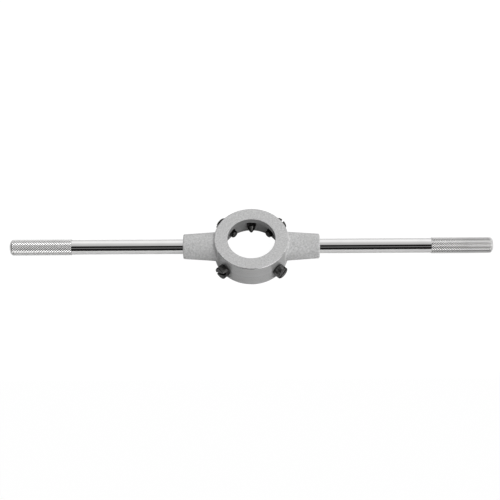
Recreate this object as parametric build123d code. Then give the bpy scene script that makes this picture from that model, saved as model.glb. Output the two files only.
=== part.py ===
from build123d import *

import os
from math import cos, radians, sin, tan

# A round die stock: a cast holder for a round threading die, with two screwed-in bar handles
# and five radial screws that clamp, centre and spread the die.
#
# Millimetres. X runs along the handles, +Z points up out of the flange and +Y points at the
# spreading screw. The origin is on the holder's axis, in the plane of the pocket's open end,
# which is the face that the holder stands on.

# ---- the die that the holder takes ----
DIE_DIAMETER = 38.0
DIE_THICKNESS = 14.0

# ---- overall ----
OVERALL_LENGTH = 315.0

# ---- holder ring ----
HOLDER_DIAMETER = 48.4
HOLDER_HEIGHT = 17.75
FLANGE_HOLE_DIAMETER = 31.0
POCKET_CLEARANCE = 0.05  # radial, between the die and its pocket
POCKET_DEPTH = 14.0  # the die sits flush with the open face
EDGE_ROUND = 0.6  # outer edges of the ring
HOLE_EDGE_ROUND = 0.4
POCKET_MOUTH_CHAMFER = 0.5

# ---- bosses that carry the handles: oval, tapered outwards for the casting mould ----
BOSS_END_X = 44.4
BOSS_START_X = 17.0  # inside the ring's wall
BOSS_ROOT_X = HOLDER_DIAMETER / 2
BOSS_ROOT_HALF_WIDTH = 10.1
BOSS_ROOT_HALF_HEIGHT = 7.8
BOSS_END_HALF_WIDTH = 8.25
BOSS_END_HALF_HEIGHT = 7.65
BOSS_BLEND = 1.0  # fillet between boss and ring
BOSS_END_ROUND = 0.8

# ---- handle bars ----
SHANK_DIAMETER = 9.5
GRIP_DIAMETER = 10.4
GRIP_LENGTH = 40.3
GRIP_END_ROUND = 2.6
GRIP_START_CHAMFER = 0.25
SPIGOT_DIAMETER = 8.0  # M8, drawn at its major diameter
SPIGOT_LENGTH = 16.0
SPIGOT_CHAMFER = 0.8
SPIGOT_RELIEF_WIDTH = 1.2
SPIGOT_RELIEF_DEPTH = 0.7
SOCKET_SPARE_DEPTH = 1.5
DRILL_POINT_ANGLE = 118.0

# ---- screws: M6, drawn at the major diameter ----
SCREW_DIAMETER = 6.0
SCREW_CLEARANCE = 0.05  # radial, between screw and hole
SCREW_HEAD_START_RADIUS = 24.0  # from the holder's axis to the underside of each head
SCREW_HEAD_DIAMETER = 8.4
SCREW_HEAD_HEIGHT = 4.8
SCREW_HEAD_CHAMFER = 0.4
SCREW_HEAD_FOOT_CHAMFER = 0.2
SLOT_WIDTH = 1.4
SLOT_DEPTH = 2.0
SCREW_THREAD_LENGTH = 7.0
SCREW_THREAD_CHAMFER = 0.4
POINT_DIAMETER = 4.9  # passes through the 5 mm tapping hole
CLAMP_POINT_RADIUS = 15.1  # from the holder's axis to the tip
CLAMP_POINT_CHAMFER = 0.4
SPREADER_POINT_RADIUS = 13.2
SPREADER_TIP_DIAMETER = 1.8
SPREADER_CONE_ANGLE = 60.0  # the angle of the notch in the edge of a die
SPOT_FACE_DIAMETER = 12.0
SPOT_FACE_RADIUS = 23.5  # from the holder's axis to the flat round each screw hole
SCREW_HOLE_MOUTH_CHAMFER = 0.4  # where each screw hole opens into the pocket
CUTTER_OVERRUN = 1.0  # how far a spot-face cutter starts outside the ring

# name, angle round the holder's axis from +X, and the slot's tilt out of the holder's plane
SCREWS = [
    ("clamp_screw_rear_right", 45.0, 105.0),
    ("spreading_screw", 90.0, 60.0),
    ("clamp_screw_rear_left", 135.0, 15.0),
    ("clamp_screw_front_left", 225.0, 34.0),
    ("clamp_screw_front_right", 315.0, 34.0),
]

MID_HEIGHT = HOLDER_HEIGHT / 2
SCREW_HEIGHT = POCKET_DEPTH - DIE_THICKNESS / 2  # the middle of a die seated on the flange
HANDLE_END_X = OVERALL_LENGTH / 2
GRIP_START_X = HANDLE_END_X - GRIP_LENGTH

os.makedirs("parts", exist_ok=True)


def revolved(outline):
    """The solid of a closed outline of (radius, height) corners, turned about Z."""
    with BuildSketch(Plane.XZ) as sketch:
        with BuildLine():
            Polyline(*outline, close=True)
        make_face()
    return revolve(sketch.sketch, Axis.Z)


def along_x(solid):
    """Turns a solid made up Z so that it points along X, at the height of the handles."""
    return Pos(0, 0, MID_HEIGHT) * Rot(0, 90, 0) * solid


def at_screw(solid, angle, radius):
    """Turns a solid made up Z so that it points out along one screw's own axis."""
    turn = Rot(0, 0, angle) * Rot(0, 90, 0)
    direction = Vector(cos(radians(angle)), sin(radians(angle)), 0)
    return Pos(direction * radius + Vector(0, 0, SCREW_HEIGHT)) * turn * solid


def boss():
    """One tapered oval boss on +X, long enough to run into the ring's wall."""
    taper_run = BOSS_END_X - BOSS_ROOT_X
    width_slope = (BOSS_ROOT_HALF_WIDTH - BOSS_END_HALF_WIDTH) / taper_run
    height_slope = (BOSS_ROOT_HALF_HEIGHT - BOSS_END_HALF_HEIGHT) / taper_run
    inward = BOSS_ROOT_X - BOSS_START_X
    start = Plane((BOSS_START_X, 0, MID_HEIGHT), x_dir=(0, 1, 0), z_dir=(1, 0, 0))
    end = Plane((BOSS_END_X, 0, MID_HEIGHT), x_dir=(0, 1, 0), z_dir=(1, 0, 0))
    start_oval = Ellipse(
        BOSS_ROOT_HALF_WIDTH + width_slope * inward,
        BOSS_ROOT_HALF_HEIGHT + height_slope * inward,
    )
    end_oval = Ellipse(BOSS_END_HALF_WIDTH, BOSS_END_HALF_HEIGHT)
    body = loft([start * start_oval, end * end_oval], ruled=True)
    end_face = body.faces().sort_by(Axis.X)[-1]
    return fillet(end_face.edges(), BOSS_END_ROUND)


def blended_bosses():
    """Both bosses on a stretch of the ring, with the blend between them.

    The ring is made taller than the real one so that the blend has wall to run up, and the whole
    is then cut back to the flat band between the ring's two rounded edges.
    """
    tall = Pos(0, 0, MID_HEIGHT) * Cylinder(HOLDER_DIAMETER / 2, 2 * HOLDER_HEIGHT)
    right = boss()
    left = Rot(0, 0, 180) * right
    joined = tall + right + left
    seams = new_edges(tall, right, left, combined=joined)
    joined = fillet(seams, BOSS_BLEND)
    band = Box(2 * OVERALL_LENGTH, 2 * HOLDER_DIAMETER, HOLDER_HEIGHT - 2 * EDGE_ROUND)
    return joined & Pos(0, 0, MID_HEIGHT) * band


def ring():
    """The plain outer disc of the holder, with its two outer edges rounded."""
    disc = Pos(0, 0, MID_HEIGHT) * Cylinder(HOLDER_DIAMETER / 2, HOLDER_HEIGHT)
    rims = disc.edges().filter_by(GeomType.CIRCLE)
    return fillet(rims, EDGE_ROUND)


def pocket_and_hole():
    """What the die pocket and the hole through the flange take away."""
    pocket_radius = DIE_DIAMETER / 2 + POCKET_CLEARANCE
    mouth_radius = pocket_radius + POCKET_MOUTH_CHAMFER
    hole_radius = FLANGE_HOLE_DIAMETER / 2
    below = -HOLDER_HEIGHT
    outline = [
        (0, below),
        (mouth_radius, below),
        (mouth_radius, 0),
        (pocket_radius, POCKET_MOUTH_CHAMFER),
        (pocket_radius, POCKET_DEPTH),
        (hole_radius, POCKET_DEPTH),
        (hole_radius, 2 * HOLDER_HEIGHT),
        (0, 2 * HOLDER_HEIGHT),
    ]
    return revolved(outline)


def handle_socket():
    """What one tapped handle socket takes away, from the end of the boss on +X inwards."""
    radius = SPIGOT_DIAMETER / 2
    depth = SPIGOT_LENGTH + SOCKET_SPARE_DEPTH
    point = radius / tan(radians(DRILL_POINT_ANGLE / 2))
    outline = [
        (0, -depth - point),
        (radius, -depth),
        (radius, BOSS_END_ROUND),
        (0, BOSS_END_ROUND),
    ]
    return Pos(BOSS_END_X, 0, 0) * along_x(revolved(outline))


def screw_hole(angle):
    """What one radial screw hole, its countersunk mouth and its spot-face take away."""
    hole_radius = SCREW_DIAMETER / 2 + SCREW_CLEARANCE
    pocket_wall = DIE_DIAMETER / 2 + POCKET_CLEARANCE - SPOT_FACE_RADIUS
    inner_end = pocket_wall - 2 * SCREW_HOLE_MOUTH_CHAMFER
    cone_end = pocket_wall + SCREW_HOLE_MOUTH_CHAMFER
    outer_end = HOLDER_DIAMETER / 2 - SPOT_FACE_RADIUS + CUTTER_OVERRUN
    outline = [
        (0, inner_end),
        (hole_radius + cone_end - inner_end, inner_end),
        (hole_radius, cone_end),
        (hole_radius, 0),
        (SPOT_FACE_DIAMETER / 2, 0),
        (SPOT_FACE_DIAMETER / 2, outer_end),
        (0, outer_end),
    ]
    return at_screw(revolved(outline), angle, SPOT_FACE_RADIUS)


def die_holder():
    body = ring() + blended_bosses() - pocket_and_hole()
    hole_rim = [
        edge
        for edge in body.edges().filter_by(GeomType.CIRCLE)
        if abs(edge.radius - FLANGE_HOLE_DIAMETER / 2) < HOLE_EDGE_ROUND
        and edge.center().Z > HOLDER_HEIGHT - HOLE_EDGE_ROUND
    ]
    body = fillet(hole_rim, HOLE_EDGE_ROUND)
    for side in (0, 180):
        body -= Rot(0, 0, side) * handle_socket()
    for _, angle, _ in SCREWS:
        body -= screw_hole(angle)
    return body


def handle():
    """The handle on +X: spigot, plain shank and grip, turned from one bar."""
    spigot = SPIGOT_DIAMETER / 2
    relief = spigot - SPIGOT_RELIEF_DEPTH
    shank = SHANK_DIAMETER / 2
    grip = GRIP_DIAMETER / 2
    start = BOSS_END_X - SPIGOT_LENGTH
    outline = [
        (0, start),
        (spigot - SPIGOT_CHAMFER, start),
        (spigot, start + SPIGOT_CHAMFER),
        (spigot, BOSS_END_X - SPIGOT_RELIEF_WIDTH),
        (relief, BOSS_END_X - SPIGOT_RELIEF_WIDTH),
        (relief, BOSS_END_X),
        (shank, BOSS_END_X),
        (shank, GRIP_START_X),
        (grip - GRIP_START_CHAMFER, GRIP_START_X),
        (grip, GRIP_START_X + GRIP_START_CHAMFER),
        (grip, HANDLE_END_X),
        (0, HANDLE_END_X),
    ]
    bar = revolved(outline)
    end_rim = bar.faces().sort_by(Axis.Z)[-1].edges()
    return along_x(fillet(end_rim, GRIP_END_ROUND))


def screw(tip_radius, tip_taper_run, tip_end_radius, slot_tilt):
    """One screw made up Z, with the underside of its head at height zero."""
    head = SCREW_HEAD_DIAMETER / 2
    thread = SCREW_DIAMETER / 2
    point = POINT_DIAMETER / 2
    tip = tip_radius - SCREW_HEAD_START_RADIUS
    outline = [
        (0, tip),
        (tip_end_radius, tip),
        (point, tip + tip_taper_run),
        (point, -SCREW_THREAD_LENGTH),
        (thread - SCREW_THREAD_CHAMFER, -SCREW_THREAD_LENGTH),
        (thread, -SCREW_THREAD_LENGTH + SCREW_THREAD_CHAMFER),
        (thread, 0),
        (head - SCREW_HEAD_FOOT_CHAMFER, 0),
        (head, SCREW_HEAD_FOOT_CHAMFER),
        (head, SCREW_HEAD_HEIGHT - SCREW_HEAD_CHAMFER),
        (head - SCREW_HEAD_CHAMFER, SCREW_HEAD_HEIGHT),
        (0, SCREW_HEAD_HEIGHT),
    ]
    # the slot runs along the holder's tangent when its tilt is zero
    slot = Pos(0, 0, SCREW_HEAD_HEIGHT) * Rot(0, 0, slot_tilt)
    slot = slot * Box(SLOT_WIDTH, 2 * SCREW_HEAD_DIAMETER, 2 * SLOT_DEPTH)
    return revolved(outline) - slot


def clamp_screw(slot_tilt):
    blunt_end = POINT_DIAMETER / 2 - CLAMP_POINT_CHAMFER
    return screw(CLAMP_POINT_RADIUS, CLAMP_POINT_CHAMFER, blunt_end, slot_tilt)


def spreading_screw(slot_tilt):
    tip_end = SPREADER_TIP_DIAMETER / 2
    cone_run = (POINT_DIAMETER / 2 - tip_end) / tan(radians(SPREADER_CONE_ANGLE / 2))
    return screw(SPREADER_POINT_RADIUS, cone_run, tip_end, slot_tilt)


def save(name, solid):
    export_step(solid, f"parts/{name}.step")


save("die_holder", die_holder())
save("handle_right", handle())
save("handle_left", Rot(0, 0, 180) * handle())
for screw_name, screw_angle, screw_slot_tilt in SCREWS:
    make = spreading_screw if screw_name == "spreading_screw" else clamp_screw
    save(screw_name, at_screw(make(screw_slot_tilt), screw_angle, SCREW_HEAD_START_RADIUS))
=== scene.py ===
"""A round die stock on a plain pale floor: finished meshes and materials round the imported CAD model.

Metres throughout. X runs along the handles, +Z is up and +Y points at the spreading screw.
"""
from math import cos, pi, radians, sin, sqrt, tan, tau

import bmesh
import bpy
from mathutils import Matrix, Quaternion, Vector


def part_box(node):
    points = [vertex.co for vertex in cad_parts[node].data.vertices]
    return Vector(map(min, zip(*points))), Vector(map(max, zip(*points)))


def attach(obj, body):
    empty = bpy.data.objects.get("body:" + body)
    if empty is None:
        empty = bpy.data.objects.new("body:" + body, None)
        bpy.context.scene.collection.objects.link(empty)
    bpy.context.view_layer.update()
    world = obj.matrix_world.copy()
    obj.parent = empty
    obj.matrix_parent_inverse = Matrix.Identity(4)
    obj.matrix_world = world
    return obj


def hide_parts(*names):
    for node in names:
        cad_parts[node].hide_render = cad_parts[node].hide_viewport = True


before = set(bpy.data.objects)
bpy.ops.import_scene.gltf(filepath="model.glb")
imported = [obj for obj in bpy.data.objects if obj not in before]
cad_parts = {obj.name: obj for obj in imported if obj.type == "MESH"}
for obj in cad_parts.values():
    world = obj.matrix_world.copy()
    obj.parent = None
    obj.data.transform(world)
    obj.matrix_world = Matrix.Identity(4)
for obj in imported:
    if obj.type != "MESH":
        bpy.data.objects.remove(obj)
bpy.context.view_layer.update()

MM = 0.001

# ---- camera ----
CAMERA_DISTANCE = 0.80
CAMERA_ELEVATION = radians(54.15)
CAMERA_ROLL = radians(-0.41)
CAMERA_LENS_MM = 88.9
CAMERA_SENSOR_MM = 36.0
CAMERA_NEAR = 0.01
CAMERA_FAR = 100.0
AIM_LEFT = 0.92 * MM  # the aim point, from the middle of the ring's top face
AIM_FORWARD = 6.35 * MM
AIM_BELOW = 4.05 * MM

# ---- meshes ----
SHARP_ANGLE = radians(28.0)
UNDIVIDED = 1.0  # a mesh step longer than any line here, which leaves the line in one piece
SHANK_STEP = 6.0 * MM
GRIP_START_STEPS = 3
GRIP_END_STEPS = 20
HEAD_ROUND_STEPS = 4

# ---- 60 degree threads, in shares of their pitch ----
THREAD_DEPTH = 0.6134
THREAD_HALF_CREST = 0.0625
THREAD_FLANK = 0.3125
THREAD_STEPS = 8  # mesh steps to one turn

# ---- handles ----
SPIGOT_RADIUS = 4.0 * MM
SPIGOT_CHAMFER = 0.8 * MM
SPIGOT_PITCH = 1.25 * MM
SPIGOT_LENGTH = 16.0 * MM
SPIGOT_RELIEF_WIDTH = 1.2 * MM
SPIGOT_RELIEF_RADIUS = 3.3 * MM
SHANK_RADIUS = 4.75 * MM
GRIP_LENGTH = 40.3 * MM
GRIP_START_CHAMFER = 0.25 * MM
GRIP_END_ROUND = 2.6 * MM
KNURL_STARTS = 20
KNURL_DEPTH = 0.34 * MM
KNURL_FLAT = 0.25  # share of the spacing that is left flat on top
KNURL_GRID = 8  # mesh steps to one knurl spacing

# ---- screws ----
SCREW_PITCH = 1.0 * MM
SCREW_RADIUS = 3.0 * MM
SCREW_HEAD_RADIUS = 4.2 * MM
SCREW_HEAD_HEIGHT = 4.8 * MM
SCREW_HEAD_ROUND = 0.4 * MM
SCREW_FOOT_CHAMFER = 0.2 * MM
SCREW_THREAD_LENGTH = 7.0 * MM
SCREW_THREAD_CHAMFER = 0.4 * MM
SCREW_NECK = 1.0 * MM  # unthreaded, under the head
POINT_RADIUS = 2.45 * MM
CLAMP_POINT_END_RADIUS = 2.05 * MM
CLAMP_POINT_TAPER = 0.4 * MM
SPREADER_POINT_END_RADIUS = 0.9 * MM
SPREADER_POINT_TAPER = (POINT_RADIUS - SPREADER_POINT_END_RADIUS) / tan(radians(30.0))
EDGE_BAND = 0.2 * MM  # width of the narrow faces beside the head's edges
SLOT_WIDTH = 1.4 * MM
SLOT_DEPTH = 2.0 * MM
SLOT_EDGE_ROUND = 0.10 * MM
SLOT_EDGE_ANGLE = radians(40.0)  # the least angle at which an edge beside the slot is rounded
SLOT_EDGE_TOLERANCE = 0.001 * MM
WELD_DISTANCE = 0.0005 * MM
SCREW_SIDES = 72
# distances from the holder's axis at rest
SCREW_HEAD_START = 24.0 * MM
CLAMP_TIP = 15.1 * MM
SPREADER_TIP = 13.2 * MM
# angle round the holder from +X, and the slot's tilt out of the holder's plane
SCREWS = {
    "clamp_screw_rear_right": (45.0, 105.0),
    "spreading_screw": (90.0, 60.0),
    "clamp_screw_rear_left": (135.0, 15.0),
    "clamp_screw_front_left": (225.0, 34.0),
    "clamp_screw_front_right": (315.0, 34.0),
}

# ---- faces of the holder that are cut after casting ----
RING_RADIUS = 24.2 * MM
RIM_ROUND = 0.6 * MM
BOSS_REACH = 11.0 * MM  # no boss or blend is further than this from the XZ plane
POCKET_RADIUS = 19.05 * MM
POCKET_DEPTH = 14.0 * MM
FLANGE_HOLE_RADIUS = 15.5 * MM
SPOT_FACE_RADIUS = 6.0 * MM
SPOT_FACE_OUT = 23.5 * MM  # from the holder's axis
SCREW_HEIGHT = 7.0 * MM
FACE_TOLERANCE = 0.05 * MM

# ---- surface detail: noise scales for a vector in metres ----
SKIN_GRAIN_SCALE = 2600.0
SKIN_MOTTLE_SCALE = 900.0
SKIN_BLOTCH_SCALE = 90.0
SKIN_RELIEF = 0.06 * MM
PIT_SCALE = 420.0
PIT_SIZE_SCALE = 260.0
PIT_WARP_SCALE = 700.0
PIT_WARP = 1.2 * MM
CUT_LINES_SCALE = 5200.0
CHROME_TURNING_SCALES = (9000.0, 60.0, 60.0)  # along the handle, and across it
CHROME_SCRATCH_SCALES = (45.0, 5200.0, 5200.0)
CHROME_SMEAR_SCALE = 60.0
CHROME_RELIEF = 0.0012 * MM
OXIDE_CLOUD_SCALE = 420.0
OXIDE_GRAIN_SCALE = 4200.0
OXIDE_RELIEF = 0.012 * MM

# ---- tones: linear level of grey, and how much warmer than neutral it is ----
SKIN_DARK = (0.43, 0.0)
SKIN_LIGHT = (0.72, 0.0)
SKIN_BLOTCH = (0.555, 0.004)
SKIN_GRAIN = (0.77, 0.0)
PIT = (0.30, 0.0)
CUT_DARK = (0.45, 0.0)
CUT_LIGHT = (0.59, 0.0)
# painted shade: a dark grey for the cut metal in the pocket and the flange hole
CUT_INSIDE_PAINTED_SHADE = (0.12, 0.0)
PLAIN_BRIGHT = (0.88, 0.006)
PLAIN_DULL = (0.83, 0.006)
KNURL_BRIGHT = (0.90, 0.006)
KNURL_DULL = (0.82, 0.006)
KNURL_GROOVE = (0.40, 0.01)
OXIDE_DARK = (0.035, 0.02)
OXIDE_LIGHT = (0.07, 0.02)
OXIDE_RUBBED = (0.30, 0.0)

# ---- finish: lowest and highest roughness, and share of metal ----
SKIN_ROUGHNESS = (0.44, 0.60)
CUT_ROUGHNESS = (0.26, 0.38)
RIM_SMOOTHER = 0.06  # taken off the roughness on the round of the ring's top edge
PLAIN_ROUGHNESS = (0.02, 0.05)
KNURL_ROUGHNESS = (0.10, 0.18)
OXIDE_ROUGHNESS = (0.16, 0.32)
SKIN_METAL = 0.15
CUT_METAL = 0.55
RIM_MORE_METAL = 0.35
OXIDE_METAL = 0.9

# ---- floor ----
FLOOR_HALF_WIDTH = 6.0
FLOOR_GAP = 0.02 * MM
FLOOR_TONE = 0.80
FLOOR_FRONT = -0.085  # in front of this Y the floor reflects next to nothing
FLOOR_FRONT_TONE = 0.03
FLOOR_FRONT_BLUR = 0.01
FLOOR_GLOW = 1.08
FLOOR_GLOW_SHARE = 0.92  # of what the camera sees; the rest is paper, which takes shadows

# ---- light: (degrees from the horizon in front, over the top, to the horizon behind; level) ----
WORLD_STRENGTH = 5.0
MIDDLE_LEVELS = [
    (0, 0.012), (32, 0.012), (33.5, 0.32), (38.5, 0.32), (40, 0.012), (67, 0.012),
    (73, 0.50), (82, 0.55), (99, 0.62), (117, 0.80), (136, 1.05), (159, 0.93), (180, 0.83),
]
LEFT_LEVELS = [
    (0, 0.05), (18, 0.05), (30, 0.20), (42, 0.80), (60, 0.80), (68, 0.12), (84, 0.12),
    (104, 0.15), (122, 0.40), (150, 0.70), (180, 0.70),
]
RIGHT_LEVELS = [
    (0, 0.9), (18, 0.9), (30, 1.50), (42, 3.40), (62, 3.40), (72, 1.80), (84, 1.10),
    (104, 1.10), (122, 1.30), (150, 1.20), (180, 1.00),
]
# how far to the side, from 0 in the middle to 1 straight left or right
SIDES_START = 0.16
SIDES_FULL = 0.28
FAR_SIDES_START = 0.65
FAR_SIDES_FULL = 0.95
FAR_SIDE_SHARE = 0.5  # what is left of the side levels at the far left and right


# ---------------------------------------------------------------- node helpers


class Shader:
    """A node tree with short calls to add and join nodes."""

    def __init__(self, tree):
        self.tree = tree
        self.tree.nodes.clear()

    def add(self, kind, sockets=None, **settings):
        """A node with its settings; sockets maps an input's name or number to a value or an output."""
        made = self.tree.nodes.new(kind)
        for key, value in settings.items():
            setattr(made, key, value)
        for key, value in (sockets or {}).items():
            self.put(made.inputs[key], value)
        return made

    def put(self, socket, value):
        if isinstance(value, bpy.types.NodeSocket):
            self.tree.links.new(value, socket)
        else:
            socket.default_value = value

    def math(self, operation, a, b=0.0):
        made = self.add("ShaderNodeMath", {0: a, 1: b}, operation=operation)
        return made.outputs[0]

    def noise(self, vector, scale, detail=2.0, roughness=0.5, distortion=0.0):
        made = self.add("ShaderNodeTexNoise", {
            "Vector": vector, "Scale": scale, "Detail": detail,
            "Roughness": roughness, "Distortion": distortion,
        })
        return made.outputs["Fac"]

    def stretch(self, value, low, high, to_low=0.0, to_high=1.0):
        """Maps low..high to to_low..to_high, held at the ends."""
        made = self.add("ShaderNodeMapRange", {
            "Value": value, "From Min": low, "From Max": high, "To Min": to_low, "To Max": to_high,
        })
        return made.outputs["Result"]

    def mix(self, share, a, b):
        """A colour mix; 6 and 7 are the node's colour inputs and 2 is its colour output."""
        made = self.add("ShaderNodeMix", {0: share}, data_type="RGBA")
        self.put(made.inputs[6], a)
        self.put(made.inputs[7], b)
        return made.outputs[2]

    def mix_values(self, share, a, b):
        """A mix of two numbers; 2 and 3 are the node's number inputs."""
        return self.add("ShaderNodeMix", {0: share, 2: a, 3: b}).outputs[0]

    def scaled(self, vector, factors):
        made = self.add("ShaderNodeVectorMath", {0: vector, 1: factors}, operation="MULTIPLY")
        return made.outputs[0]

    def bump(self, height, distance, strength):
        made = self.add("ShaderNodeBump", {
            "Height": height, "Distance": distance, "Strength": strength,
        })
        return made.outputs["Normal"]


def grey(level, warmth=0.0):
    """A grey of that linear level, a little warmer or cooler."""
    return (level * (1 + warmth), level, level * (1 - warmth), 1.0)


def new_material(name):
    material = bpy.data.materials.new(name)
    material.use_nodes = True
    shader = Shader(material.node_tree)
    surface = shader.add("ShaderNodeBsdfPrincipled")
    output = shader.add("ShaderNodeOutputMaterial")
    shader.put(output.inputs["Surface"], surface.outputs[0])
    place = shader.add("ShaderNodeTexCoord").outputs["Object"]
    return material, shader, surface, place


# ---------------------------------------------------------------- materials


def within(s, value, low, high, soft):
    """One where value lies between low and high, falling to zero over soft outside them."""
    rising = s.stretch(value, low - soft, low)
    falling = s.stretch(value, high, high + soft, 1.0, 0.0)
    return s.math("MULTIPLY", rising, falling)


def square_sum(s, a, b):
    return s.math("ADD", s.math("MULTIPLY", a, a), s.math("MULTIPLY", b, b))


def machined_areas(s, x, y, z, from_axis):
    """One on the faces of the holder that are cut after casting, zero on its cast skin.

    They are the ring's outside, the pocket, the hole through the flange and the flats round the
    screw holes.
    """
    pocket = s.math("MULTIPLY", s.math("LESS_THAN", from_axis, POCKET_RADIUS + FACE_TOLERANCE),
                    s.math("LESS_THAN", z, POCKET_DEPTH + FACE_TOLERANCE))
    hole = s.math("LESS_THAN", from_axis, FLANGE_HOLE_RADIUS + FACE_TOLERANCE)
    machined = s.math("MAXIMUM", pocket, hole)
    wall = s.math("GREATER_THAN", from_axis, RING_RADIUS - RIM_ROUND)
    clear = s.math("GREATER_THAN", s.math("ABSOLUTE", y), BOSS_REACH)
    machined = s.math("MAXIMUM", machined, s.math("MULTIPLY", wall, clear))
    up = s.math("SUBTRACT", z, SCREW_HEIGHT)
    for degrees, _ in SCREWS.values():
        angle = radians(degrees)
        out = s.math("ADD", s.math("MULTIPLY", x, cos(angle)), s.math("MULTIPLY", y, sin(angle)))
        beside = s.math("SUBTRACT", s.math("MULTIPLY", y, cos(angle)), s.math("MULTIPLY", x, sin(angle)))
        near = s.math("LESS_THAN", s.math("SQRT", square_sum(s, beside, up)), SPOT_FACE_RADIUS)
        flat = within(s, out, SPOT_FACE_OUT - FACE_TOLERANCE, SPOT_FACE_OUT + FACE_TOLERANCE,
                      FACE_TOLERANCE)
        machined = s.math("MAXIMUM", machined, s.math("MULTIPLY", near, flat))
    return machined


def cast_zinc():
    """Matte silver-grey die casting with a fine sandy skin, and bare turned metal where it is cut. The
    cut metal in the pocket and the flange hole carries painted shade.
    """
    material, s, surface, place = new_material("cast_zinc")
    holder_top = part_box("die_holder")[1].z
    parts = s.add("ShaderNodeSeparateXYZ", {0: place})
    x, y, z = (parts.outputs[axis] for axis in "XYZ")
    from_axis = s.math("SQRT", square_sum(s, x, y))
    machined = machined_areas(s, x, y, z, from_axis)

    grain = s.noise(place, SKIN_GRAIN_SCALE, detail=4.0, roughness=0.7)
    mottle = s.noise(place, SKIN_MOTTLE_SCALE, detail=3.0, roughness=0.6)
    blotch = s.noise(place, SKIN_BLOTCH_SCALE, detail=3.0)
    pit_size = s.noise(place, PIT_SIZE_SCALE)
    warp = s.add("ShaderNodeTexNoise", {"Vector": place, "Scale": PIT_WARP_SCALE}).outputs["Color"]
    shift = s.scaled(warp, (PIT_WARP, PIT_WARP, PIT_WARP))
    pit_place = s.add("ShaderNodeVectorMath", {0: place, 1: shift}, operation="ADD").outputs[0]
    pit_cells = s.add("ShaderNodeTexVoronoi", {"Vector": pit_place, "Scale": PIT_SCALE})
    pits = s.stretch(pit_cells.outputs["Distance"], 0.02, 0.20, 1.0, 0.0)
    pits = s.math("MULTIPLY", pits, s.stretch(pit_size, 0.52, 0.68))

    skin = s.mix(s.stretch(mottle, 0.32, 0.68), grey(*SKIN_DARK), grey(*SKIN_LIGHT))
    skin = s.mix(s.stretch(blotch, 0.35, 0.65, 0.0, 0.4), skin, grey(*SKIN_BLOTCH))
    skin = s.mix(s.stretch(grain, 0.35, 0.75, 0.0, 0.30), skin, grey(*SKIN_GRAIN))
    skin = s.mix(s.math("MULTIPLY", pits, 0.5), skin, grey(*PIT))

    lines_place = s.add("ShaderNodeCombineXYZ", {"X": from_axis, "Y": z}).outputs[0]
    lines = s.noise(lines_place, CUT_LINES_SCALE, detail=3.0, roughness=0.6)
    cut = s.mix(s.stretch(lines, 0.3, 0.7), grey(*CUT_DARK), grey(*CUT_LIGHT))
    # painted shade: the cut metal in the pocket and the flange hole is mixed by 0.35 towards a dark grey
    painted_pocket_shade = s.math("LESS_THAN", from_axis, POCKET_RADIUS + FACE_TOLERANCE)
    cut = s.mix(s.math("MULTIPLY", painted_pocket_shade, 0.35), cut, grey(*CUT_INSIDE_PAINTED_SHADE))
    s.put(surface.inputs["Base Color"], s.mix(machined, skin, cut))
    rim = s.math("MULTIPLY", machined, s.math("GREATER_THAN", z, holder_top - RIM_ROUND))
    metal = s.stretch(machined, 0.0, 1.0, SKIN_METAL, CUT_METAL)
    metal = s.math("ADD", metal, s.math("MULTIPLY", rim, RIM_MORE_METAL))
    s.put(surface.inputs["Metallic"], metal)
    skin_roughness = s.stretch(grain, 0.3, 0.7, *SKIN_ROUGHNESS)
    cut_roughness = s.stretch(lines, 0.3, 0.7, *CUT_ROUGHNESS)
    cut_roughness = s.math("SUBTRACT", cut_roughness, s.math("MULTIPLY", rim, RIM_SMOOTHER))
    s.put(surface.inputs["Roughness"], s.mix_values(machined, skin_roughness, cut_roughness))

    height = s.math("ADD", s.math("MULTIPLY", grain, 0.6), s.math("MULTIPLY", mottle, 0.8))
    height = s.math("SUBTRACT", height, s.math("MULTIPLY", pits, 0.5))
    rough_skin = s.math("MULTIPLY", height, s.stretch(machined, 0.0, 1.0, 1.0, 0.0))
    turned_lines = s.math("MULTIPLY", s.math("MULTIPLY", lines, machined), 0.10)
    relief = s.math("ADD", rough_skin, turned_lines)
    s.put(surface.inputs["Normal"], s.bump(relief, SKIN_RELIEF, 0.8))
    return material


def chrome(name, bright, dull, roughness_range):
    """Bright chrome plate over turned steel: faint turning lines, hairline scratches and smears.

    Below the tops of a knurl the colour is darker.
    """
    material, s, surface, place = new_material(name)
    low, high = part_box("handle_right")
    parts = s.add("ShaderNodeSeparateXYZ", {0: place})
    up = s.math("SUBTRACT", parts.outputs["Z"], (low.z + high.z) / 2)
    from_line = s.math("SQRT", square_sum(s, parts.outputs["Y"], up))
    grip_radius = (high.z - low.z) / 2
    turning = s.noise(s.scaled(place, CHROME_TURNING_SCALES), 1.0)
    scratches = s.noise(s.scaled(place, CHROME_SCRATCH_SCALES), 1.0, detail=3.0, roughness=0.7)
    smears = s.noise(place, CHROME_SMEAR_SCALE, detail=4.0, roughness=0.6, distortion=0.6)

    tone = s.mix(s.stretch(smears, 0.35, 0.7), grey(*bright), grey(*dull))
    beyond_shank = s.math("GREATER_THAN", from_line, SHANK_RADIUS + KNURL_DEPTH / 4)
    groove = s.stretch(from_line, grip_radius - KNURL_DEPTH, grip_radius - KNURL_DEPTH / 3, 1.0, 0.0)
    tone = s.mix(s.math("MULTIPLY", groove, beyond_shank), tone, grey(*KNURL_GROOVE))
    s.put(surface.inputs["Base Color"], tone)
    surface.inputs["Metallic"].default_value = 1.0
    wear = s.math("ADD", s.math("MULTIPLY", smears, 0.7), s.math("MULTIPLY", scratches, 0.3))
    s.put(surface.inputs["Roughness"], s.stretch(wear, 0.35, 0.7, *roughness_range))

    height = s.math("ADD", s.math("MULTIPLY", turning, 0.5), s.math("MULTIPLY", scratches, 0.4))
    s.put(surface.inputs["Normal"], s.bump(height, CHROME_RELIEF, 0.6))
    return material


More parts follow.
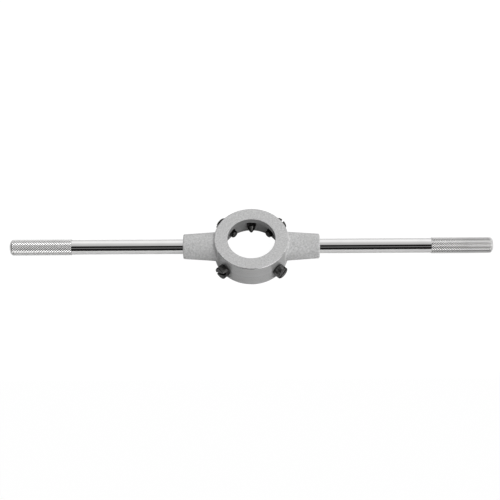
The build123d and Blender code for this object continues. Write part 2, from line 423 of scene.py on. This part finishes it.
def black_steel():
    """Black-oxide steel: dark and glossy with oil, and rubbed thin in patches on convex faces."""
    material, s, surface, place = new_material("black_steel")
    cloud = s.noise(place, OXIDE_CLOUD_SCALE, detail=4.0, roughness=0.6)
    grain = s.noise(place, OXIDE_GRAIN_SCALE)
    pointiness = s.add("ShaderNodeNewGeometry").outputs["Pointiness"]
    rubbed = s.math("MULTIPLY", s.stretch(pointiness, 0.62, 0.72), s.stretch(cloud, 0.40, 0.60))

    tone = s.mix(s.stretch(cloud, 0.3, 0.7), grey(*OXIDE_DARK), grey(*OXIDE_LIGHT))
    tone = s.mix(s.math("MULTIPLY", rubbed, 0.35), tone, grey(*OXIDE_RUBBED))
    s.put(surface.inputs["Base Color"], tone)
    surface.inputs["Metallic"].default_value = OXIDE_METAL
    unevenness = s.math("ADD", grain, cloud)
    s.put(surface.inputs["Roughness"], s.stretch(unevenness, 0.7, 1.3, *OXIDE_ROUGHNESS))
    s.put(surface.inputs["Normal"], s.bump(unevenness, OXIDE_RELIEF, 0.5))
    return material


# ---------------------------------------------------------------- turned shapes


def arc(centre_x, centre_radius, size, start, end, steps):
    """Points (x, radius) on an arc, with angles measured from +X towards the outside."""
    points = []
    for step in range(steps + 1):
        angle = start + (end - start) * step / steps
        points.append((centre_x + size * cos(angle), centre_radius + size * sin(angle)))
    return points


def divided(start, end, step):
    """Points (x, radius) along a straight line, no further apart than step, without the first."""
    length = sqrt((end[0] - start[0]) ** 2 + (end[1] - start[1]) ** 2)
    count = max(1, round(length / step))
    return [
        (start[0] + (end[0] - start[0]) * i / count, start[1] + (end[1] - start[1]) * i / count)
        for i in range(1, count + 1)
    ]


def turned(name, profile, sides, limit):
    """A closed turned mesh along X from a profile of (x, radius).

    limit(x, angle) is the largest radius that a thread or knurl leaves there. Each four-cornered
    patch is split along the diagonal that is most nearly level, so that creases follow edges.
    """
    points = [(profile[0][0], 0.0, 0.0)]
    radii = []
    for x, radius in profile:
        ring = []
        for side in range(sides):
            angle = tau * side / sides
            reach = min(radius, limit(x, angle))
            ring.append(reach)
            points.append((x, reach * cos(angle), reach * sin(angle)))
        radii.append(ring)
    points.append((profile[-1][0], 0.0, 0.0))

    faces = []
    for side in range(sides):
        after = (side + 1) % sides
        faces.append((0, 1 + after, 1 + side))
        last = 1 + (len(profile) - 1) * sides
        faces.append((len(points) - 1, last + side, last + after))
    for row in range(len(profile) - 1):
        for side in range(sides):
            after = (side + 1) % sides
            a, b = 1 + row * sides + side, 1 + row * sides + after
            c, d = b + sides, a + sides
            rise = abs(radii[row][side] - radii[row + 1][after])
            fall = abs(radii[row][after] - radii[row + 1][side])
            if rise == fall:
                faces.append((a, b, c, d))
            elif rise < fall:
                faces += [(a, b, c), (a, c, d)]
            else:
                faces += [(a, b, d), (b, c, d)]
    mesh = bpy.data.meshes.new(name)
    mesh.from_pydata(points, [], faces)
    mesh.validate()
    return mesh


def thread_limit(x, angle, pitch, major, start_fade, fade_length):
    """The radius of a right-hand 60 degree thread, running out to full size at start_fade."""
    turn = (x / pitch - angle / tau) % 1.0
    from_crest = abs(turn - 0.5)
    depth = THREAD_DEPTH * pitch
    cut = min(1.0, max(0.0, (from_crest - THREAD_HALF_CREST) / THREAD_FLANK))
    fade = min(1.0, max(0.0, (start_fade - x) / fade_length))
    return major - depth * cut * fade


def knurl_limit(x, angle, grip_radius, start):
    """The radius of a diamond knurl: two families of V grooves that cross at right angles."""
    along = (x - start) / (tau * grip_radius / KNURL_STARTS)
    around = angle / tau * KNURL_STARTS
    depth = 1.0
    for lane in (along + around, along - around):
        from_groove = abs((lane + 0.5) % 1.0 - 0.5) * 2
        depth = min(depth, from_groove / (1 - KNURL_FLAT))
    return grip_radius - KNURL_DEPTH * (1 - min(1.0, depth))


def finish_mesh(mesh, material):
    for face in mesh.polygons:
        face.use_smooth = True
    mesh.set_sharp_from_angle(angle=SHARP_ANGLE)
    mesh.materials.append(material)


def add_object(mesh):
    piece = bpy.data.objects.new(mesh.name, mesh)
    bpy.context.scene.collection.objects.link(piece)
    return piece


# ---------------------------------------------------------------- pieces


def handle_profile(grip_radius, boss_end, end):
    """The handle's outline from the spigot's tip to the grip's end."""
    start = boss_end - SPIGOT_LENGTH
    thread_step = SPIGOT_PITCH / THREAD_STEPS
    knurl_step = tau * grip_radius / KNURL_STARTS / KNURL_GRID
    grip_start = end - GRIP_LENGTH
    corners = [
        ((start + SPIGOT_CHAMFER, SPIGOT_RADIUS), thread_step),
        ((boss_end - SPIGOT_RELIEF_WIDTH, SPIGOT_RADIUS), thread_step),
        ((boss_end - SPIGOT_RELIEF_WIDTH, SPIGOT_RELIEF_RADIUS), UNDIVIDED),
        ((boss_end, SPIGOT_RELIEF_RADIUS), UNDIVIDED),
        ((boss_end, SHANK_RADIUS), UNDIVIDED),
        ((grip_start, SHANK_RADIUS), SHANK_STEP),
        ((grip_start, grip_radius - GRIP_START_CHAMFER), UNDIVIDED),
        ((grip_start + GRIP_START_CHAMFER, grip_radius), GRIP_START_CHAMFER / GRIP_START_STEPS),
    ]
    profile = [(start, SPIGOT_RADIUS - SPIGOT_CHAMFER)]
    for corner, step in corners:
        profile += divided(profile[-1], corner, step)
    knurl_end = end - GRIP_END_ROUND
    x = grip_start + knurl_step * 2
    while x < knurl_end - knurl_step / 2:
        profile.append((x, grip_radius))
        x += knurl_step
    profile += arc(knurl_end, grip_radius - GRIP_END_ROUND, GRIP_END_ROUND, pi / 2, 0.0,
                   GRIP_END_STEPS)
    return profile


def handle(side, material_plain, material_knurl):
    """The bar handle on one side: threaded spigot, plain shank and diamond-knurled grip."""
    node = f"handle_{side}"
    low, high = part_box(node)
    grip_radius = (high.z - low.z) / 2
    middle = (high.z + low.z) / 2
    end = max(-low.x, high.x)
    boss_end = min(abs(low.x), abs(high.x)) + SPIGOT_LENGTH
    grip_start = end - GRIP_LENGTH

    def limit(x, angle):
        if x < boss_end:
            return thread_limit(x, angle, SPIGOT_PITCH, SPIGOT_RADIUS, boss_end, SPIGOT_PITCH)
        if x >= grip_start:
            return knurl_limit(x, angle, grip_radius, grip_start)
        return grip_radius

    mesh = turned(f"knurled_handle_{side}", handle_profile(grip_radius, boss_end, end),
                  KNURL_STARTS * KNURL_GRID, limit)
    turn = 0.0 if side == "right" else pi
    mesh.transform(Matrix.Translation((0, 0, middle)) @ Matrix.Rotation(turn, 4, "Z"))
    finish_mesh(mesh, material_plain)
    mesh.materials.append(material_knurl)
    for face in mesh.polygons:
        if abs(face.center.x) > grip_start:
            face.material_index = 1
    piece = add_object(mesh)
    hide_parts(node)
    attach(piece, "stock")


def screw_profile(tip, tip_end_radius, taper):
    """A screw's outline from its tip outwards, with the underside of its head at zero."""
    thread_step = SCREW_PITCH / THREAD_STEPS
    thread_start = -SCREW_THREAD_LENGTH
    rim = SCREW_HEAD_HEIGHT - SCREW_HEAD_ROUND
    corners = [
        ((tip + taper, POINT_RADIUS), UNDIVIDED),
        ((thread_start, POINT_RADIUS), UNDIVIDED),
        ((thread_start, SCREW_RADIUS - SCREW_THREAD_CHAMFER), UNDIVIDED),
        ((thread_start + SCREW_THREAD_CHAMFER, SCREW_RADIUS), thread_step),
        ((0.0, SCREW_RADIUS), thread_step),
        ((0.0, SCREW_HEAD_RADIUS - SCREW_FOOT_CHAMFER), UNDIVIDED),
        ((SCREW_FOOT_CHAMFER, SCREW_HEAD_RADIUS), UNDIVIDED),
        ((SCREW_FOOT_CHAMFER + EDGE_BAND, SCREW_HEAD_RADIUS), UNDIVIDED),
        ((rim - EDGE_BAND, SCREW_HEAD_RADIUS), UNDIVIDED),
        ((rim, SCREW_HEAD_RADIUS), UNDIVIDED),
    ]
    profile = [(tip, tip_end_radius)]
    for corner, step in corners:
        profile += divided(profile[-1], corner, step)
    centre = SCREW_HEAD_RADIUS - SCREW_HEAD_ROUND
    profile += arc(rim, centre, SCREW_HEAD_ROUND, pi / 2, 0.0, HEAD_ROUND_STEPS)[1:]
    profile.append((SCREW_HEAD_HEIGHT, centre - EDGE_BAND))
    return profile


def cut_slot(piece, tilt):
    """Cuts the driving slot across the head and rounds its edges."""
    cutter_mesh = bpy.data.meshes.new("slot_cutter")
    box = bmesh.new()
    bmesh.ops.create_cube(box, size=1.0)
    size = Matrix.Diagonal((2 * SLOT_DEPTH, 4 * SCREW_HEAD_RADIUS, SLOT_WIDTH, 1.0))
    place = Matrix.Translation((SCREW_HEAD_HEIGHT, 0, 0)) @ Matrix.Rotation(tilt, 4, "X") @ size
    bmesh.ops.transform(box, matrix=place, verts=box.verts)
    box.to_mesh(cutter_mesh)
    box.free()
    cutter = add_object(cutter_mesh)
    modifier = piece.modifiers.new("slot", "BOOLEAN")
    modifier.operation = "DIFFERENCE"
    modifier.object = cutter
    modifier.solver = "EXACT"
    bpy.context.view_layer.update()
    cut = piece.evaluated_get(bpy.context.evaluated_depsgraph_get())
    mesh = bpy.data.meshes.new_from_object(cut)
    piece.modifiers.clear()
    bpy.data.objects.remove(cutter)

    shape = bmesh.new()
    shape.from_mesh(mesh)
    bmesh.ops.remove_doubles(shape, verts=shape.verts, dist=WELD_DISTANCE)
    across = Matrix.Rotation(tilt, 3, "X") @ Vector((0, 0, 1))
    edges = []
    for edge in shape.edges:
        middle = (edge.verts[0].co + edge.verts[1].co) / 2
        beside_slot = abs(abs(middle.dot(across)) - SLOT_WIDTH / 2) < SLOT_EDGE_TOLERANCE
        if beside_slot and len(edge.link_faces) == 2 and edge.calc_face_angle(0.0) > SLOT_EDGE_ANGLE:
            edges.append(edge)
    bmesh.ops.bevel(shape, geom=edges, offset=SLOT_EDGE_ROUND, segments=2, affect="EDGES",
                    clamp_overlap=True)
    shape.to_mesh(mesh)
    shape.free()
    piece.data = mesh
    return mesh


def screw(node, material):
    """One slotted screw with its thread, in place, riding on its own body."""
    angle, tilt = SCREWS[node]
    low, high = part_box(node)
    outward = Vector((cos(radians(angle)), sin(radians(angle)), 0))
    if node == "spreading_screw":
        tip, tip_end, taper = SPREADER_TIP, SPREADER_POINT_END_RADIUS, SPREADER_POINT_TAPER
    else:
        tip, tip_end, taper = CLAMP_TIP, CLAMP_POINT_END_RADIUS, CLAMP_POINT_TAPER

    def limit(x, turn):
        if -SCREW_THREAD_LENGTH <= x < 0:
            return thread_limit(x, turn, SCREW_PITCH, SCREW_RADIUS, -SCREW_NECK / 2, SCREW_NECK)
        return SCREW_HEAD_RADIUS

    profile = screw_profile(tip - SCREW_HEAD_START, tip_end, taper)
    mesh = turned(f"slotted_{node}", profile, SCREW_SIDES, limit)
    piece = add_object(mesh)
    mesh = cut_slot(piece, radians(tilt))
    mesh.name = piece.name
    place = Matrix.Translation(outward * SCREW_HEAD_START + Vector((0, 0, (low.z + high.z) / 2)))
    mesh.transform(place @ Matrix.Rotation(radians(angle), 4, "Z"))
    mesh.materials.clear()
    finish_mesh(mesh, material)
    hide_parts(node)
    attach(piece, node)


# ---------------------------------------------------------------- the scene


def make_camera():
    """Looks down on the ring from the front, far enough away for the handles to fit."""
    _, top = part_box("die_holder")
    ring_top = Vector((0, 0, top.z))
    towards = Vector((0, -cos(CAMERA_ELEVATION), sin(CAMERA_ELEVATION)))
    data = bpy.data.cameras.new("camera")
    data.lens = CAMERA_LENS_MM
    data.sensor_width = CAMERA_SENSOR_MM
    data.clip_start = CAMERA_NEAR
    data.clip_end = CAMERA_FAR
    camera = bpy.data.objects.new("camera", data)
    bpy.context.scene.collection.objects.link(camera)
    camera.location = ring_top + towards * CAMERA_DISTANCE
    aim = ring_top - Vector((AIM_LEFT, AIM_FORWARD, AIM_BELOW))
    facing = (aim - camera.location).to_track_quat("-Z", "Y")
    camera.rotation_mode = "QUATERNION"
    camera.rotation_quaternion = facing @ Quaternion((0, 0, 1), CAMERA_ROLL)
    bpy.context.scene.camera = camera


def make_floor():
    """A wide pale floor, bright enough to pass for a white sweep."""
    mesh = bpy.data.meshes.new("floor")
    half = FLOOR_HALF_WIDTH
    mesh.from_pydata([(-half, -half, 0), (half, -half, 0), (half, half, 0), (-half, half, 0)],
                     [], [(0, 1, 2, 3)])
    floor = add_object(mesh)
    floor.location.z = -FLOOR_GAP
    material = bpy.data.materials.new("floor")
    material.use_nodes = True
    s = Shader(material.node_tree)
    place = s.add("ShaderNodeTexCoord").outputs["Object"]
    y = s.add("ShaderNodeSeparateXYZ", {0: place}).outputs["Y"]
    behind_front = s.stretch(y, FLOOR_FRONT - FLOOR_FRONT_BLUR, FLOOR_FRONT)
    shade = s.mix(behind_front, grey(FLOOR_FRONT_TONE), grey(FLOOR_TONE))
    paper = s.add("ShaderNodeBsdfDiffuse", {"Color": shade})
    glow = s.add("ShaderNodeEmission", {"Color": grey(1.0), "Strength": FLOOR_GLOW})
    seen = s.add("ShaderNodeLightPath").outputs["Is Camera Ray"]
    both = s.add("ShaderNodeMixShader", {
        0: s.math("MULTIPLY", seen, FLOOR_GLOW_SHARE), 1: paper.outputs[0], 2: glow.outputs[0],
    })
    output = s.add("ShaderNodeOutputMaterial")
    s.put(output.inputs["Surface"], both.outputs[0])
    mesh.materials.append(material)


def light_ramp(shader, position, levels):
    """A grey that follows (angle in degrees, level) stops; position is the angle over 180."""
    ramp = shader.add("ShaderNodeValToRGB", {"Fac": position})
    stops = ramp.color_ramp.elements
    while len(stops) < len(levels):
        stops.new(1.0)
    for stop, (angle, level) in zip(stops, levels):
        stop.position = angle / 180.0
        stop.color = grey(level / WORLD_STRENGTH)
    return ramp.outputs[0]


def make_world():
    """A light tent round the object. The camera itself sees plain white.

    In the middle it is pale above and behind, and dark in front with one thin bright strip. The
    left side is dim and the right side is bright.
    """
    world = bpy.data.worlds.new("studio")
    bpy.context.scene.world = world
    world.use_nodes = True
    s = Shader(world.node_tree)
    direction = s.add("ShaderNodeTexCoord").outputs["Generated"]
    parts = s.add("ShaderNodeSeparateXYZ", {0: direction})
    across = parts.outputs["X"]
    forward = s.math("MULTIPLY", parts.outputs["Y"], -1.0)
    angle = s.math("ARCTAN2", parts.outputs["Z"], forward)
    position = s.math("DIVIDE", angle, pi)
    middle = light_ramp(s, position, MIDDLE_LEVELS)
    left = light_ramp(s, position, LEFT_LEVELS)
    right = light_ramp(s, position, RIGHT_LEVELS)
    sides = s.mix(s.math("GREATER_THAN", across, 0.0), left, right)
    from_middle = s.math("ABSOLUTE", across)
    fall_off = s.stretch(from_middle, FAR_SIDES_START, FAR_SIDES_FULL, 1.0, FAR_SIDE_SHARE)
    sides = s.scaled(sides, fall_off)
    to_side = s.stretch(from_middle, SIDES_START, SIDES_FULL)
    surroundings = s.mix(to_side, middle, sides)
    seen = s.add("ShaderNodeLightPath").outputs["Is Camera Ray"]
    colour = s.mix(seen, surroundings, grey(1.0 / WORLD_STRENGTH))
    background = s.add("ShaderNodeBackground", {"Color": colour, "Strength": WORLD_STRENGTH})
    output = s.add("ShaderNodeOutputWorld")
    s.put(output.inputs["Surface"], background.outputs[0])


zinc = cast_zinc()
plain_chrome = chrome("chrome_plain", PLAIN_BRIGHT, PLAIN_DULL, PLAIN_ROUGHNESS)
knurl_chrome = chrome("chrome_knurled", KNURL_BRIGHT, KNURL_DULL, KNURL_ROUGHNESS)
oxide = black_steel()

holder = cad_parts["die_holder"]
for holder_slot in holder.material_slots:
    holder_slot.material = zinc

for handle_side in ("left", "right"):
    handle(handle_side, plain_chrome, knurl_chrome)
for screw_node in SCREWS:
    screw(screw_node, oxide)

make_camera()
make_floor()
make_world()
bpy.context.scene.view_settings.view_transform = "Standard"
